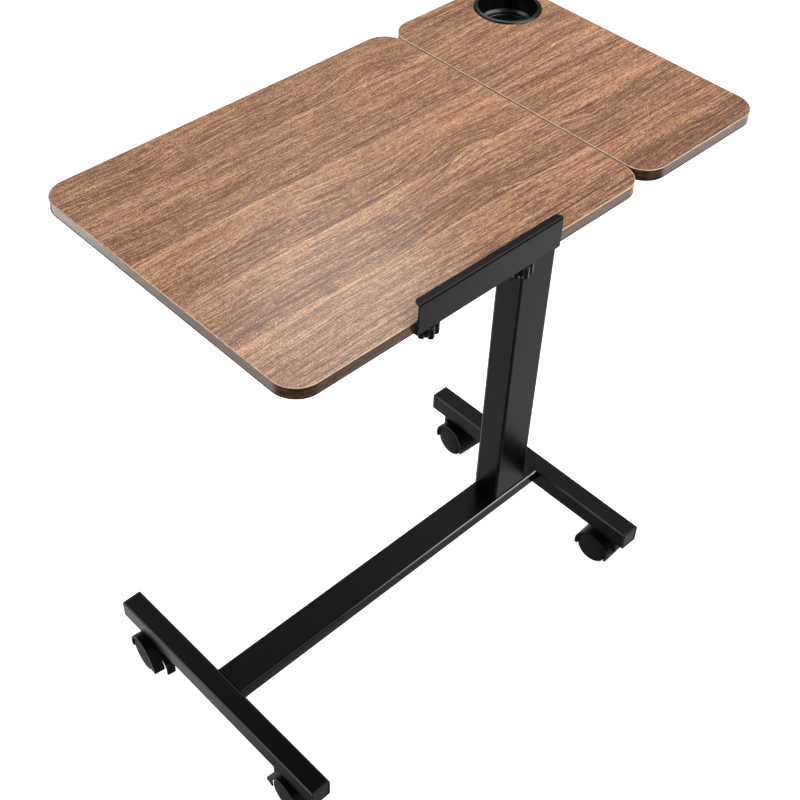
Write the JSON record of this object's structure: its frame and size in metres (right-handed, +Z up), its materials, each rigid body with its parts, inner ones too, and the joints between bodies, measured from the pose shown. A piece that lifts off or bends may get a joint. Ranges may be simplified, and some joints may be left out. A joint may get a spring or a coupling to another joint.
{
  "type": "rolling laptop desk",
  "caption": "Height-adjustable rolling desk: tilting walnut-look main top with a stop bar, level side top with cup holder, and a black steel I-base on hooded casters.",
  "frame": {"origin": "on the floor, under the middle of the overall length and midway between the front and back edges of the tops", "axes": "+X along the desk from the tilting main top to the level side top, +Y from the user to the back, +Z up"},
  "size_m": [0.7054, 0.4055, 0.818],
  "materials": {
    "powder_coat": "satin black powder coat with a fine orange-peel texture",
    "black_plastic": "moulded black plastic, low sheen",
    "wheel_plastic": "moulded black nylon, low sheen",
    "zinc_steel": "zinc plated steel",
    "brass": "turned brass",
    "pad_rubber": "matt black foam rubber",
    "bush_plastic": "natural nylon",
    "walnut_laminate": "walnut laminate with straight grain, satin, fine embossed texture",
    "edge_band": "walnut-print edge band, satin"
  },
  "bodies": {
    "base": {"left_foot_tube": "powder_coat", "right_foot_tube": "powder_coat", "rail_tube": "powder_coat", "foot_end_caps": "black_plastic", "caster_bosses": "zinc_steel", "caster_stems": "zinc_steel", "column_outer_tube": "powder_coat", "column_base_block": "zinc_steel", "column_bolts": "zinc_steel", "guide_bush": "black_plastic", "height_boss": "zinc_steel", "pressure_pad": "brass"},
    "height_clamp": {"height_knob": "black_plastic", "height_stud": "zinc_steel"},
    "mast": {"column_inner_tube": "powder_coat", "mast_glide": "black_plastic", "head_channel": "powder_coat", "shaft_plates": "powder_coat", "tilt_shaft": "powder_coat", "shaft_end_caps": "black_plastic", "shaft_collar": "zinc_steel", "tilt_quadrant": "powder_coat", "side_top": "walnut_laminate", "side_top_edge_band": "edge_band", "side_top_screws": "zinc_steel"},
    "cup": {"cup_holder": "black_plastic"},
    "tilt_top": {"main_top": "walnut_laminate", "main_top_edge_band": "edge_band", "left_tilt_bracket": "powder_coat", "right_tilt_bracket": "powder_coat", "tilt_bushes": "bush_plastic", "bracket_screws": "zinc_steel", "stop_bar": "powder_coat", "stop_bar_pad": "pad_rubber", "stop_bar_inserts": "brass", "tilt_lock_bolt": "zinc_steel"},
    "tilt_clamp": {"tilt_lock_knob": "black_plastic"},
    "left_stop_screw": {"left_stop_knob": "black_plastic", "left_stop_stud": "zinc_steel"},
    "right_stop_screw": {"right_stop_knob": "black_plastic", "right_stop_stud": "zinc_steel"},
    "back_left_fork": {"back_left_hood": "black_plastic", "back_left_axle": "zinc_steel"},
    "back_left_outer": {"back_left_outer_wheel": "wheel_plastic"},
    "back_left_inner": {"back_left_inner_wheel": "wheel_plastic"},
    "back_left_brake": {"back_left_brake_lever": "black_plastic"},
    "front_left_fork": {"front_left_hood": "black_plastic", "front_left_axle": "zinc_steel"},
    "front_left_outer": {"front_left_outer_wheel": "wheel_plastic"},
    "front_left_inner": {"front_left_inner_wheel": "wheel_plastic"},
    "front_left_brake": {"front_left_brake_lever": "black_plastic"},
    "back_right_fork": {"back_right_hood": "black_plastic", "back_right_axle": "zinc_steel"},
    "back_right_outer": {"back_right_outer_wheel": "wheel_plastic"},
    "back_right_inner": {"back_right_inner_wheel": "wheel_plastic"},
    "front_right_fork": {"front_right_hood": "black_plastic", "front_right_axle": "zinc_steel"},
    "front_right_outer": {"front_right_outer_wheel": "wheel_plastic"},
    "front_right_inner": {"front_right_inner_wheel": "wheel_plastic"}
  },
  "joints": [
    {"name": "height", "type": "slide", "parent": "base", "child": "mast", "axis": [0, 0, 1], "range_m": [-0.15, 0.15]},
    {"name": "tilt", "type": "hinge", "parent": "mast", "child": "tilt_top", "pos_m": [-0.045, 0, 0.758], "axis": [1, 0, 0], "range_deg": [0, 45]},
    {"name": "height_knob_turn", "type": "hinge", "parent": "base", "child": "height_clamp", "pos_m": [0.2175, 0.04, 0.525], "axis": [0, 1, 0], "continuous": true},
    {"name": "tilt_knob_turn", "type": "hinge", "parent": "tilt_top", "child": "tilt_clamp", "pos_m": [0.13, -0.01607, 0.7192], "axis": [1, 0, 0], "continuous": true},
    {"name": "left_stop_knob_turn", "type": "hinge", "parent": "tilt_top", "child": "left_stop_screw", "pos_m": [-0.1655, -0.188, 0.77], "axis": [0, 0, 1], "continuous": true},
    {"name": "right_stop_knob_turn", "type": "hinge", "parent": "tilt_top", "child": "right_stop_screw", "pos_m": [-0.0315, -0.188, 0.77], "axis": [0, 0, 1], "continuous": true},
    {"name": "cup_lift", "type": "slide", "parent": "mast", "child": "cup", "axis": [0, 0, 1], "range_m": [0, 0.06]},
    {"name": "back_left_swivel", "type": "hinge", "parent": "base", "child": "back_left_fork", "pos_m": [-0.3215, 0.1745, 0.045], "axis": [0, 0, 1], "continuous": true},
    {"name": "back_left_outer_spin", "type": "hinge", "parent": "back_left_fork", "child": "back_left_outer", "pos_m": [-0.32442, 0.15068, 0.025], "axis": [0.9925, -0.1219, 0], "continuous": true},
    {"name": "back_left_inner_spin", "type": "hinge", "parent": "back_left_fork", "child": "back_left_inner", "pos_m": [-0.32442, 0.15068, 0.025], "axis": [0.9925, -0.1219, 0], "continuous": true},
    {"name": "back_left_brake_press", "type": "hinge", "parent": "back_left_fork", "child": "back_left_brake", "pos_m": [-0.32674, 0.13182, 0.033], "axis": [0.9925, -0.1219, 0], "range_deg": [0, 12]},
    {"name": "front_left_swivel", "type": "hinge", "parent": "base", "child": "front_left_fork", "pos_m": [-0.3215, -0.1745, 0.045], "axis": [0, 0, 1], "continuous": true},
    {"name": "front_left_outer_spin", "type": "hinge", "parent": "front_left_fork", "child": "front_left_outer", "pos_m": [-0.32003, -0.15054, 0.025], "axis": [0.9981, -0.061, 0], "continuous": true},
    {"name": "front_left_inner_spin", "type": "hinge", "parent": "front_left_fork", "child": "front_left_inner", "pos_m": [-0.32003, -0.15054, 0.025], "axis": [0.9981, -0.061, 0], "continuous": true},
    {"name": "front_left_brake_press", "type": "hinge", "parent": "front_left_fork", "child": "front_left_brake", "pos_m": [-0.31887, -0.13158, 0.033], "axis": [-0.9981, 0.061, 0], "range_deg": [0, 12]},
    {"name": "back_right_swivel", "type": "hinge", "parent": "base", "child": "back_right_fork", "pos_m": [0.291, 0.1745, 0.045], "axis": [0, 0, 1], "continuous": true},
    {"name": "back_right_outer_spin", "type": "hinge", "parent": "back_right_fork", "child": "back_right_outer", "pos_m": [0.28933, 0.15056, 0.025], "axis": [0.9976, -0.0698, 0], "continuous": true},
    {"name": "back_right_inner_spin", "type": "hinge", "parent": "back_right_fork", "child": "back_right_inner", "pos_m": [0.28933, 0.15056, 0.025], "axis": [0.9976, -0.0698, 0], "continuous": true},
    {"name": "front_right_swivel", "type": "hinge", "parent": "base", "child": "front_right_fork", "pos_m": [0.291, -0.1745, 0.045], "axis": [0, 0, 1], "continuous": true},
    {"name": "front_right_outer_spin", "type": "hinge", "parent": "front_right_fork", "child": "front_right_outer", "pos_m": [0.28974, -0.15053, 0.025], "axis": [0.9986, 0.0523, 0], "continuous": true},
    {"name": "front_right_inner_spin", "type": "hinge", "parent": "front_right_fork", "child": "front_right_inner", "pos_m": [0.28974, -0.15053, 0.025], "axis": [0.9986, 0.0523, 0], "continuous": true}
  ]
}
